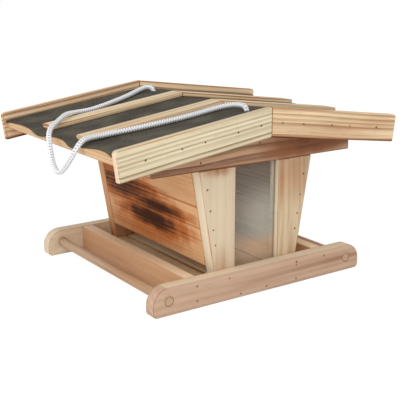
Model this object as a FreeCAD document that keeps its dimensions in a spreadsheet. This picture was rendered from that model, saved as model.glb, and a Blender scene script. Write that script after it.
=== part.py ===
import FreeCAD, Part
import math
import os
import re
import Sketcher

Vector = FreeCAD.Vector

# Sizes of a wooden silo feeder for birds, in millimetres.
# X runs along the tray rails, Y from the near gable to the far gable, Z is up.
# The origin is on the ground under the middle of the tray.
SIZES = {
    # tray
    "RailLength": 280.0,
    "RailHeight": 30.0,
    "BoardThick": 14.0,
    "RailRoundTop": 19.0,
    "RailRoundFoot": 5.0,
    "TrayWidth": 225.0,
    "TrayEndFace": 94.0,
    "TrayEndRound": 1.5,
    "PerchDia": 10.0,
    "PerchInset": 19.0,
    "PerchFit": 0.1,
    "FloorThick": 9.0,
    "FloorTop": 12.5,
    "PlankGap": 1.6,
    # silo
    "SiloTop": 139.0,
    "SlotHeight": 18.5,
    "WallTilt": 9.63,
    "WallFoot": 56.7,
    "WallThick": 10.0,
    "WallLip": 1.0,
    "LowerPlank": 43.6,
    "MiddlePlank": 24.3,
    "WindowHalf": 28.5,
    "PaneThick": 2.0,
    "PaneFit": 0.3,
    "KerfDepth": 6.0,
    # roof
    "Pitch": 7.7,
    "RoofRise": 62.0,
    "BargeHeight": 31.0,
    "BargeThick": 8.0,
    "BargeHalf": 183.0,
    "BargeFace": 135.0,
    "BargeRound": 2.0,
    "BargeCorner": 4.0,
    "FeltDrop": 8.5,
    "FeltThick": 1.5,
    "FeltReach": -3.0,
    "WaveDepth": 5.0,
    "DeckThick": 7.0,
    "DeckReach": -5.0,
    "BattenThick": 5.0,
    "BattenWide": 20.0,
    "BattenPlace": 40.0,
    "BattenShort": 14.0,
    "RoofGableHalf": 131.0,
    "RoofSeat": 0.3,
    "PurlinThick": 14.0,
    "PurlinTongue": 8.0,
    "PurlinFit": 0.5,
    # cord and what holds it
    "CordDia": 5.5,
    "CordHole": 8.0,
    "CordJoinDrop": 15.0,
    "YokeThick": 11.0,
    "YokeHalf": 47.5,
    "YokeLeg": 9.5,
    "YokeFoot": 125.0,
    "YokeBridge": 148.0,
    "YokeTop": 158.0,
    "YokeBore": 6.5,
    "KnotDia": 10.0,
    "KnotGap": 0.3,
}

# Middle line of the free loop of cord, chosen point by point, from the near
# hole in the ridge along the left slope, over the eave and back to the far hole.
CORD_ROUTE = [
    (0.0, -93.0, 186.0), (0.0, -93.0, 196.8), (-4.0, -81.0, 197.6), (-14.0, -69.0, 195.0),
    (-33.0, -61.5, 191.8), (-62.0, -60.5, 187.8), (-97.0, -58.0, 183.2), (-127.0, -59.0, 179.4),
    (-153.0, -57.0, 178.8), (-172.0, -61.0, 181.6), (-182.4, -63.7, 176.4), (-189.3, -62.8, 167.8),
    (-192.0, -57.2, 156.7), (-191.0, -44.0, 146.5), (-190.5, -30.0, 140.6), (-190.5, -17.1, 143.7),
    (-191.5, -9.0, 153.9), (-192.0, -6.0, 168.5), (-186.5, 2.5, 181.5), (-175.5, 15.0, 186.5),
    (-162.5, 31.0, 187.5), (-149.0, 49.0, 184.5), (-130.0, 62.0, 180.5), (-104.0, 68.5, 182.3),
    (-77.0, 74.5, 186.0), (-50.0, 87.0, 189.8), (-26.0, 99.0, 193.2), (-8.0, 101.5, 197.0),
    (0.0, 93.0, 196.8), (0.0, 93.0, 186.0),
]

SHEET_CELLS = {name: "Sizes." + name for name in SIZES}

doc = FreeCAD.newDocument("SiloFeeder")
sheet = doc.addObject("Spreadsheet::Sheet", "Sizes")
parts = []


def fill_sheet():
    """Write every driving size into the spreadsheet under its alias."""
    for row, (name, value) in enumerate(SIZES.items(), start=1):
        sheet.set("A%d" % row, name)
        sheet.set("B%d" % row, str(value))
        sheet.setAlias("B%d" % row, name)
    doc.recompute()


def bound(text):
    """Turn the plain names of sizes in an expression into cells of the sheet."""
    return re.sub("[A-Za-z]+", lambda word: SHEET_CELLS.get(word.group(), word.group()), text)


def number(text):
    """Work out an expression on the sizes, to draw a sketch near its final place."""
    names = {name: sheet.get(name) for name in SIZES}
    holder = doc.getObject("Scratch") or doc.addObject("App::FeaturePython", "Scratch")
    if "Value" not in holder.PropertiesList:
        holder.addProperty("App::PropertyFloat", "Value")
    if text in names:
        return float(names[text])
    holder.setExpression("Value", bound(text))
    holder.recompute()
    return float(holder.Value)


def origin_plane(body, role):
    """The body's own origin plane of that role."""
    return [item for item in body.Origin.OriginFeatures if item.Role == role][0]


def new_body(label):
    """A PartDesign body, kept in the list of finished pieces."""
    body = doc.addObject("PartDesign::Body", label)
    body.Label = label
    parts.append(body)
    return body


def new_sketch(body, role):
    """An empty sketch on one of the body's origin planes."""
    sketch = body.newObject("Sketcher::SketchObject", body.Label + "_sketch")
    sketch.AttachmentSupport = (origin_plane(body, role), [""])
    sketch.MapMode = "FlatFace"
    return sketch


def pin_point(sketch, geometry, position, place, rough):
    """Tie one sketch point to two expressions measured from the origin."""
    for kind, text, value in zip(("DistanceX", "DistanceY"), place, rough):
        index = sketch.addConstraint(Sketcher.Constraint(kind, -1, 1, geometry, position, value))
        sketch.setExpression("Constraints[%d]" % index, bound(text))


def outline(body, role, corners):
    """A closed outline of straight lines, each corner tied to the sizes."""
    sketch = new_sketch(body, role)
    rough = [(number(across), number(up)) for across, up in corners]
    count = len(corners)
    for index, start in enumerate(rough):
        end = rough[(index + 1) % count]
        sketch.addGeometry(Part.LineSegment(Vector(*start, 0), Vector(*end, 0)), False)
    for index in range(count):
        sketch.addConstraint(Sketcher.Constraint("Coincident", index, 2, (index + 1) % count, 1))
    for index, corner in enumerate(corners):
        pin_point(sketch, index, 1, corner, rough[index])
    return sketch


def circle(body, role, place, diameter):
    """A circle of a bound diameter, its middle tied to the sizes."""
    sketch = new_sketch(body, role)
    middle = [number(text) for text in place]
    sketch.addGeometry(Part.Circle(Vector(*middle, 0), Vector(0, 0, 1), number(diameter) / 2), False)
    pin_point(sketch, 0, 3, place, middle)
    index = sketch.addConstraint(Sketcher.Constraint("Diameter", 0, number(diameter)))
    sketch.setExpression("Constraints[%d]" % index, bound(diameter))
    return sketch


def pad(body, sketch, length):
    """Pad a sketch by a bound length, half to each side of its plane."""
    feature = body.newObject("PartDesign::Pad", body.Label + "_pad")
    feature.Profile = sketch
    feature.Midplane = True
    feature.setExpression("Length", bound(length))
    doc.recompute()
    return feature


def pocket(body, sketch):
    """Cut a sketch right through the body, to both sides of its plane."""
    before = body.Shape.Volume
    feature = body.newObject("PartDesign::Pocket", body.Label + "_pocket")
    feature.Profile = sketch
    feature.Midplane = True
    feature.setExpression("Length", bound("4 * RailLength"))
    doc.recompute()
    if not body.Shape.Volume < before:
        raise RuntimeError("a pocket in %s cut nothing" % body.Label)
    return feature


def round_edges(body, chosen, size, kind="Fillet"):
    """Fillet or chamfer the edges for which chosen(edge) holds."""
    base = body.Tip
    names = ["Edge%d" % (index + 1) for index, edge in enumerate(base.Shape.Edges) if chosen(edge)]
    feature = body.newObject("PartDesign::" + kind, body.Label + "_" + kind.lower())
    feature.Base = (base, names)
    feature.setExpression("Radius" if kind == "Fillet" else "Size", bound(size))
    doc.recompute()
    return feature


def place_at(piece, across=None, along=None, up=None):
    """Bind the piece's Placement to the sizes."""
    for axis, text in (("x", across), ("y", along), ("z", up)):
        if text is not None:
            piece.setExpression("Placement.Base." + axis, bound(text))


def board(label, corners, depth, along="0 * RailLength"):
    """A board whose outline lies in the XZ plane and whose depth runs along Y."""
    body = new_body(label)
    pad(body, outline(body, "XZ_Plane", corners), depth)
    place_at(body, along=along)
    return body


def mirrored(corners, side):
    """The outline for the right (1) or the left (-1) side."""
    return [("%d * ( %s )" % (side, across), up) for across, up in corners]


def runs_along_y(edge):
    """Whether an edge is straight and runs along Y."""
    ends = edge.Vertexes
    if len(ends) != 2:
        return False
    step = ends[1].Point - ends[0].Point
    return abs(step.y) > 1 and abs(step.x) + abs(step.z) < 1e-4


SIDES = (("left", -1), ("right", 1))
GABLES = (("front", -1), ("back", 1))
PERCH_PLACE = "( RailLength / 2 - PerchInset )"
RAIL_MIDDLE = "( TrayWidth / 2 + BoardThick / 2 )"
GABLE_MIDDLE = "( TrayWidth / 2 - BoardThick / 2 )"
SILO_INSIDE = "( TrayWidth - 2 * BoardThick )"
WALL_FOOT_HEIGHT = "( FloorTop + SlotHeight )"
YOKE_MIDDLE = "( TrayWidth / 2 - BoardThick - YokeThick / 2 )"
BARGE_TOP = "( SiloTop + RoofRise )"
DECK_EDGE = "( BargeHalf + DeckReach )"
FELT_EDGE = "( BargeHalf + FeltReach )"
BATTEN_END = "( BargeHalf - BattenShort )"


def make_rails():
    """Two side rails with rounded ends, bored for the perches."""
    half, top = "RailLength / 2", "RailHeight"
    corners = [("-" + half, "0"), (half, "0"), (half, top), ("-" + half, top)]
    corners = [(a.replace("-RailLength", "-1 * RailLength"), "0 * RailHeight" if b == "0" else b)
               for a, b in corners]
    for name, side in GABLES:
        body = board("rail_" + name, corners, "BoardThick", "%d * %s" % (side, RAIL_MIDDLE))
        height = number("RailHeight")
        round_edges(body, lambda e: runs_along_y(e) and e.Vertexes[0].Z > height - 0.1, "RailRoundTop")
        round_edges(body, lambda e: runs_along_y(e) and e.Vertexes[0].Z < 0.1, "RailRoundFoot")
        for across in (-1, 1):
            place = ("%d * %s" % (across, PERCH_PLACE), "RailHeight / 2")
            pocket(body, circle(body, "XZ_Plane", place, "PerchDia + 2 * PerchFit"))


def make_perches():
    """Two round perches whose ends come flush with the rails' outer faces."""
    for name, side in SIDES:
        perch = doc.addObject("Part::Cylinder", "perch_" + name)
        perch.Label = "perch_" + name
        perch.setExpression("Radius", bound("PerchDia / 2"))
        perch.setExpression("Height", bound("TrayWidth + 2 * BoardThick"))
        perch.Placement.Rotation = FreeCAD.Rotation(Vector(1, 0, 0), 90)
        place_at(perch, "%d * %s" % (side, PERCH_PLACE), "TrayWidth / 2 + BoardThick", "RailHeight / 2")
        parts.append(perch)


def make_tray_ends():
    """Two boards that close the tray between the rails."""
    inner, outer = "TrayEndFace - BoardThick", "TrayEndFace"
    corners = [(inner, "0 * RailHeight"), (outer, "0 * RailHeight"), (outer, "RailHeight"),
               (inner, "RailHeight")]
    for name, side in SIDES:
        body = board("tray_end_" + name, mirrored(corners, side), "TrayWidth")
        height = number("RailHeight")
        round_edges(body, lambda e: runs_along_y(e) and e.Vertexes[0].Z > height - 0.1, "TrayEndRound")


def make_floor():
    """Four floor planks between the tray ends, with a narrow gap between them."""
    count = 4
    inside = "( TrayEndFace - BoardThick )"
    pitch = "( ( 2 * %s + PlankGap ) / %d )" % (inside, count)
    for index in range(count):
        start = "%s * %d - %s" % (pitch, index, inside)
        end = "%s * %d - %s - PlankGap" % (pitch, index + 1, inside)
        low, high = "FloorTop - FloorThick", "FloorTop"
        board("floor_plank_%d" % (index + 1), [(start, low), (end, low), (end, high), (start, high)],
              "TrayWidth")


def wall_line(height):
    """Distance from the middle to the silo's sloped side at that height."""
    return "WallFoot + ( %s - %s ) * tan(WallTilt * 1 deg)" % (height, WALL_FOOT_HEIGHT)


def make_gable_boards():
    """Four tapered gable boards with a saw kerf in the edge for the pane."""
    corners = [("WindowHalf", "FloorTop"), (wall_line("FloorTop"), "FloorTop"),
               (wall_line("SiloTop"), "SiloTop"), ("WindowHalf", "SiloTop")]
    inner, outer = "WindowHalf - 1", "WindowHalf + KerfDepth"
    half = "( PaneThick / 2 + PaneFit )"
    slot = [(inner, "-1 * " + half), (outer, "-1 * " + half), (outer, half), (inner, half)]
    for gable, along in GABLES:
        for name, side in SIDES:
            label = "gable_board_%s_%s" % (gable, name)
            body = board(label, mirrored(corners, side), "BoardThick", "%d * %s" % (along, GABLE_MIDDLE))
            pocket(body, outline(body, "XY_Plane", mirrored(slot, side)))


def make_panes():
    """Two clear panes that stand in the kerfs and show how much seed is left."""
    reach = "( WindowHalf + KerfDepth - PaneFit )"
    corners = [("-1 * " + reach, "FloorTop"), (reach, "FloorTop"), (reach, "SiloTop - 1"),
               ("-1 * " + reach, "SiloTop - 1")]
    for gable, along in GABLES:
        board("pane_" + gable, corners, "PaneThick", "%d * %s" % (along, GABLE_MIDDLE))


def wall_corner(run, depth):
    """A point on a leaning wall: run up its outer face, depth into the wood."""
    lean = "(WallTilt * 1 deg)"
    across = "WallFoot + ( %s ) * sin%s - ( %s ) * cos%s" % (run, lean, depth, lean)
    up = "%s + ( %s ) * cos%s + ( %s ) * sin%s" % (WALL_FOOT_HEIGHT, run, lean, depth, lean)
    return across, up


def make_walls():
    """Two leaning walls of three planks each, with a small lip at each joint."""
    lean = "(WallTilt * 1 deg)"
    full = "( ( SiloTop - %s - WallThick * sin%s ) / cos%s )" % (WALL_FOOT_HEIGHT, lean, lean)
    joints = ["0 * WallThick", "LowerPlank", "LowerPlank + MiddlePlank", full]
    for name, side in SIDES:
        for index, tier in enumerate(("lower", "middle", "upper")):
            start, end = joints[index], joints[index + 1]
            corners = [wall_corner(start, "0 * WallThick"), wall_corner(end, "0 * WallThick"),
                       wall_corner(end, "WallThick"), wall_corner(start, "WallThick")]
            body = board("wall_%s_%s" % (name, tier), mirrored(corners, side), SILO_INSIDE)
            face = abs(number(corners[0][0])) - 0.1
            round_edges(body, lambda e: runs_along_y(e) and abs(e.Vertexes[0].X) > face, "WallLip", "Chamfer")


def slope(drop, across):
    """Height of a layer that lies drop below the barge top, at a distance across."""
    return "%s - ( %s ) - ( %s ) * tan(Pitch * 1 deg)" % (BARGE_TOP, drop, across)


def layer(top, thick, end, start="0 * Pitch"):
    """Outline of one slope of a roof layer from start to end, square at the end."""
    lean = "(Pitch * 1 deg)"
    low = "%s + ( %s ) / cos%s" % (top, thick, lean)
    back = "( %s - ( %s ) * sin%s )" % (end, thick, lean)
    return [(start, slope(top, start)), (end, slope(top, end)), (back, slope(low, back)),
            (start, slope(low, start))]


def make_barge_boards():
    """Four barge boards, mitred at the ridge and rounded along their edges."""
    corners = layer("0 * Pitch", "BargeHeight", "BargeHalf")
    for gable, along in GABLES:
        for name, side in SIDES:
            place = "%d * ( BargeFace - BargeThick / 2 )" % along
            body = board("barge_board_%s_%s" % (gable, name), mirrored(corners, side), "BargeThick", place)
            tip, face = number("BargeHalf") - 0.1, along * number("BargeThick") / 2
            round_edges(body, lambda e: runs_along_y(e) and abs(e.Vertexes[0].X) > tip, "BargeCorner")

            def outside(edge):
                points = [vertex.Point for vertex in edge.Vertexes]
                flat = all(abs(point.y - face) < 1e-3 for point in points)
                return flat and max(abs(point.x) for point in points) > 1

            round_edges(body, outside, "BargeRound")


DECK_TOP = "( FeltDrop + FeltThick / cos(Pitch * 1 deg) )"
DECK_FOOT = "( FeltDrop + ( FeltThick + DeckThick ) / cos(Pitch * 1 deg) )"
DECK_DEPTH = "2 * ( BargeFace - BargeThick )"


def make_deck():
    """Two deck boards between the barge boards, half a cord hole in each ridge edge."""
    for name, side in SIDES:
        body = board("deck_" + name, mirrored(layer(DECK_TOP, "DeckThick", DECK_EDGE), side), DECK_DEPTH)
        for along in (-1, 1):
            pocket(body, circle(body, "XY_Plane", ("0 * Pitch", "%d * %s" % (along, YOKE_MIDDLE)), "CordHole"))


def make_felt():
    """One sheet of roofing felt bent over the ridge, with wavy eave edges."""
    right = layer("FeltDrop", "FeltThick", FELT_EDGE)
    left = [("-1 * ( %s )" % across, up) for across, up in right]
    corners = [right[0], right[1], right[2], right[3], left[2], left[1]]
    body = board("roof_felt", corners, DECK_DEPTH)
    for along in (-1, 1):
        pocket(body, circle(body, "XY_Plane", ("0 * Pitch", "%d * %s" % (along, YOKE_MIDDLE)), "CordHole"))
    for side in (-1, 1):
        for place, size in (("-2.2 * BattenPlace", 1.0), ("0 * BattenPlace", 0.8), ("2.1 * BattenPlace", 0.7)):
            wide = "( 4.6 * BattenWide * %s )" % size
            deep = "( WaveDepth * %s )" % size
            radius = "( ( %s * %s / 4 + %s * %s ) / ( 2 * %s ) )" % (wide, wide, deep, deep, deep)
            middle = "%d * ( %s - %s + %s )" % (side, FELT_EDGE, deep, radius)
            pocket(body, circle(body, "XY_Plane", (middle, place), "2 * %s" % radius))


def make_battens():
    """Four battens that press the felt on the slopes, mitred at the ridge."""
    corners = layer("FeltDrop - BattenThick / cos(Pitch * 1 deg)", "BattenThick", BATTEN_END)
    for gable, along in GABLES:
        for name, side in SIDES:
            board("batten_%s_%s" % (gable, name), mirrored(corners, side), "BattenWide",
                  "%d * BattenPlace" % along)


def make_roof_gables():
    """Two shallow gable boards that carry the deck and sit on the silo."""
    half, foot = "RoofGableHalf", "SiloTop + RoofSeat"
    corners = [("-1 * " + half, foot), (half, foot), (half, slope(DECK_FOOT, half)),
               ("0 * Pitch", slope(DECK_FOOT, "0 * Pitch")), ("-1 * " + half, slope(DECK_FOOT, half))]
    for gable, along in GABLES:
        board("roof_gable_" + gable, corners, "BoardThick", "%d * %s" % (along, GABLE_MIDDLE))


def make_purlins():
    """Two purlins between the roof gables; their tongues drop inside the silo walls."""
    lean = "(WallTilt * 1 deg)"
    foot = "( SiloTop - PurlinTongue )"
    outer = "( %s - WallThick / cos%s - PurlinFit )" % (wall_line(foot), lean)
    inner = "( %s - PurlinThick )" % outer
    corners = [(inner, foot), (outer, foot), (outer, slope(DECK_FOOT, outer)),
               (inner, slope(DECK_FOOT, inner))]
    reach = "( TrayWidth / 2 - BoardThick )"
    for name, side in SIDES:
        body = board("purlin_" + name, mirrored(corners, side), SILO_INSIDE)
        for along in (-1, 1):
            cut = [("%d * ( %s - PurlinFit )" % (along, reach), foot + " - 1"),
                   ("%d * ( %s + 1 )" % (along, reach), foot + " - 1"),
                   ("%d * ( %s + 1 )" % (along, reach), "SiloTop + RoofSeat"),
                   ("%d * ( %s - PurlinFit )" % (along, reach), "SiloTop + RoofSeat")]
            pocket(body, outline(body, "YZ_Plane", cut))


def make_hanger_yokes():
    """Two yokes on the gable boards inside; the cord's knots pull up against their bridges."""
    inner = "( YokeHalf - YokeLeg )"
    left = [("-1 * YokeHalf", "YokeTop"), ("-1 * YokeHalf", "YokeFoot"), ("-1 * " + inner, "YokeFoot"),
            ("-1 * " + inner, "YokeBridge")]
    right = [(inner, "YokeBridge"), (inner, "YokeFoot"), ("YokeHalf", "YokeFoot"), ("YokeHalf", "YokeTop")]
    for gable, along in GABLES:
        body = board("hanger_yoke_" + gable, left + right, "YokeThick", "%d * %s" % (along, YOKE_MIDDLE))
        pocket(body, circle(body, "XY_Plane", ("0 * Pitch", "0 * Pitch"), "YokeBore"))
        near, far = "%d * ( YokeThick / 2 - PurlinFit )" % along, "%d * ( YokeThick / 2 + 1 )" % along
        pocket(body, outline(body, "YZ_Plane", [(near, "SiloTop"), (far, "SiloTop"), (far, "YokeTop + 1"),
                                                (near, "YokeTop + 1")]))


def make_cord_ends():
    """The upright legs of the cord and the knots under the yokes' bridges."""
    leg_foot = "( YokeBridge - KnotGap )"
    pieces = (("cord_knot_", "KnotDia", "KnotDia", "%s - KnotDia" % leg_foot),
              ("cord_leg_", "CordDia", "%s - CordJoinDrop - %s" % (BARGE_TOP, leg_foot), leg_foot))
    for gable, along in GABLES:
        for name, diameter, height, foot in pieces:
            piece = doc.addObject("Part::Cylinder", name + gable)
            piece.Label = name + gable
            piece.setExpression("Radius", bound(diameter + " / 2"))
            piece.setExpression("Height", bound(height))
            place_at(piece, None, "%d * %s" % (along, YOKE_MIDDLE), foot)
            parts.append(piece)


def cord_path(points):
    """Straight runs joined by tangent arcs, and the radius of each arc."""
    corners = [Vector(*point) for point in points]
    edges = []
    radii = []
    last = corners[0]
    for before, corner, after in zip(corners, corners[1:], corners[2:]):
        back, ahead = before - corner, after - corner
        shorter = min(back.Length, ahead.Length)
        half_turn = (math.pi - back.getAngle(ahead)) / 2
        radius = 0.45 * shorter / math.tan(half_turn)
        back.normalize()
        ahead.normalize()
        start = corner + back * (0.45 * shorter)
        end = corner + ahead * (0.45 * shorter)
        inward = back + ahead
        inward.normalize()
        centre = corner + inward * (radius / math.cos(half_turn))
        middle = centre - inward * radius
        edges.append(Part.LineSegment(last, start).toShape())
        edges.append(Part.Arc(start, middle, end).toShape())
        radii.append(radius)
        last = end
    edges.append(Part.LineSegment(last, corners[-1]).toShape())
    return Part.Wire(edges), radii


def make_cord_loop():
    """The free loop of cord on the left slope, as a plain tube."""
    diameter = sheet.get("CordDia")
    path, radii = cord_path(CORD_ROUTE)
    ring = Part.makeCircle(diameter / 2, Vector(*CORD_ROUTE[0]), Vector(0, 0, 1))
    tube = path.makePipeShell([Part.Wire([ring])], True, False, 2)
    loop = doc.addObject("Part::Feature", "cord_loop")
    loop.Label = "cord_loop"
    loop.Shape = tube
    loop.Placement = FreeCAD.Placement()
    parts.append(loop)
    section = math.pi * diameter ** 2 / 4
    print("cord length %.1f, volume ratio %.4f" % (path.Length, tube.Volume / (section * path.Length)))
    print("cord radii", " ".join("%.1f" % radius for radius in radii))


def check_and_write():
    """Stop on a failed object, then write each piece to its own file."""
    doc.recompute()
    for item in doc.Objects:
        if "Invalid" in item.State or "Error" in item.State:
            raise RuntimeError("%s failed: %s" % (item.Label, item.State))
    for piece in parts:
        if piece.Shape.isNull() or not piece.Shape.isValid():
            raise RuntimeError("%s has no valid shape" % piece.Label)
    os.makedirs("parts", exist_ok=True)
    for piece in parts:
        piece.Shape.exportStep("parts/%s.step" % piece.Label)
    print("%d pieces written" % len(parts))


fill_sheet()
make_rails()
make_perches()
make_tray_ends()
make_floor()
make_gable_boards()
make_panes()
make_walls()
make_barge_boards()
make_deck()
make_felt()
make_battens()
make_roof_gables()
make_purlins()
make_hanger_yokes()
make_cord_ends()
make_cord_loop()
check_and_write()
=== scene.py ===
import logging
import math
from dataclasses import dataclass, field
from enum import Enum
from typing import Callable, Optional, Protocol, Sequence, Union

import bmesh
import bpy
import numpy as np
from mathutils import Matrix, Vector


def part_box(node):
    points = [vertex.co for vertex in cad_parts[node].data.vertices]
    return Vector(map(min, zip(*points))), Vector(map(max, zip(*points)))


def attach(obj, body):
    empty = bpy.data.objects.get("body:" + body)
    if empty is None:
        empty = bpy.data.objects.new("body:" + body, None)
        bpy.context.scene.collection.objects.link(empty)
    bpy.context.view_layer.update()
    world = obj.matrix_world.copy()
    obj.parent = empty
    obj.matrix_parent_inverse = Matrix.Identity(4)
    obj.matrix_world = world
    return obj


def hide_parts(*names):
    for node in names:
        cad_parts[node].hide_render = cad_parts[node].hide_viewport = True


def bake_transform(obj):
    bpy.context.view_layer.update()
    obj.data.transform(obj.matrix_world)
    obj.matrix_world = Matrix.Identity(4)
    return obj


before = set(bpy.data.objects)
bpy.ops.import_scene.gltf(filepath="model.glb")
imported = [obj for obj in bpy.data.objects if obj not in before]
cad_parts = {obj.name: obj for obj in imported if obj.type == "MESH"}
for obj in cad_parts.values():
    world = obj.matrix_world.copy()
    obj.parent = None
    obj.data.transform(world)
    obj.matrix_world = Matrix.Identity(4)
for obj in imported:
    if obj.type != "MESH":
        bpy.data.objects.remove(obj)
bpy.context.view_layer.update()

log = logging.getLogger("silo_feeder")

Value = Union["Signal", float]
Point = tuple[float, float, float]
Colour = tuple[float, float, float]

# The pieces' sizes are in millimetres, and MM turns them into the frame's metres.
MM = 0.001
PITCH = math.radians(7.7)
WALL_LEAN = math.radians(9.63)

# Vertices within WELD are merged, faces within FLAT become one and corners over SHARP are eased.
WELD = 0.02 * MM
FLAT = math.radians(0.6)
SHARP = math.radians(35)
SMOOTH = math.radians(40)

# GOLDEN spreads the boards' seeds, and a seed shifts its board's grain by GRAIN_SHIFT, in metres.
GOLDEN = 0.618
GRAIN_SHIFT = (3.7, 0.02, 0.006)
WHITE = (1.0, 1.0, 1.0)


class Place(Enum):
    """A place on the feeder, whose name in small letters stands in node names."""

    @property
    def word(self) -> str:
        """The place as it stands in node names."""
        return self.name.lower()


class Side(Place):
    """Which slope or wall a piece belongs to; the value is its sign along X."""

    LEFT = -1
    RIGHT = 1


class Gable(Place):
    """Which gable a piece belongs to; the value is its sign along Y."""

    FRONT = -1
    BACK = 1


class Body(Enum):
    """The two bodies of the frame."""

    FEEDER = "feeder"
    ROOF = "roof"


def rgb(red: int, green: int, blue: int) -> Colour:
    """A linear colour from the 0 to 255 values that a screen shows.

    Args:
        red: Red, 0 to 255.
        green: Green, 0 to 255.
        blue: Blue, 0 to 255.

    Returns:
        The colour in linear light.
    """
    def linear(value: int) -> float:
        """One channel in linear light."""
        share = value / 255
        return share / 12.92 if share <= 0.04045 else ((share + 0.055) / 1.055) ** 2.4

    return linear(red), linear(green), linear(blue)


class Signal:
    """A shader socket that takes part in plain arithmetic."""

    def __init__(self, shader: "Shader", socket: bpy.types.NodeSocket) -> None:
        """Wrap a socket of the shader's tree."""
        self.shader = shader
        self.socket = socket

    def __add__(self, other: Value) -> "Signal":
        """Sum."""
        return self.shader.math("ADD", self, other)

    def __sub__(self, other: Value) -> "Signal":
        """Difference."""
        return self.shader.math("SUBTRACT", self, other)

    def __rsub__(self, other: float) -> "Signal":
        """Difference with the number first."""
        return self.shader.math("SUBTRACT", other, self)

    def __mul__(self, other: Value) -> "Signal":
        """Product."""
        return self.shader.math("MULTIPLY", self, other)

    def __truediv__(self, other: Value) -> "Signal":
        """Quotient."""
        return self.shader.math("DIVIDE", self, other)

    __radd__ = __add__

    def least(self, other: Value) -> "Signal":
        """The smaller of the two."""
        return self.shader.math("MINIMUM", self, other)

    def most(self, other: Value) -> "Signal":
        """The larger of the two."""
        return self.shader.math("MAXIMUM", self, other)

    def step(self, low: float, high: float) -> "Signal":
        """A smooth step, made by a Map Range node.

        Args:
            low: Where the step is 0.
            high: Where it is 1; it may be the smaller of the two.

        Returns:
            The step.
        """
        return self.shader.take("ShaderNodeMapRange", {"interpolation_type": "SMOOTHSTEP"}, "Result",
                                Value=self, From_Min=min(low, high), From_Max=max(low, high),
                                To_Min=float(low > high), To_Max=float(low < high))


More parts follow.
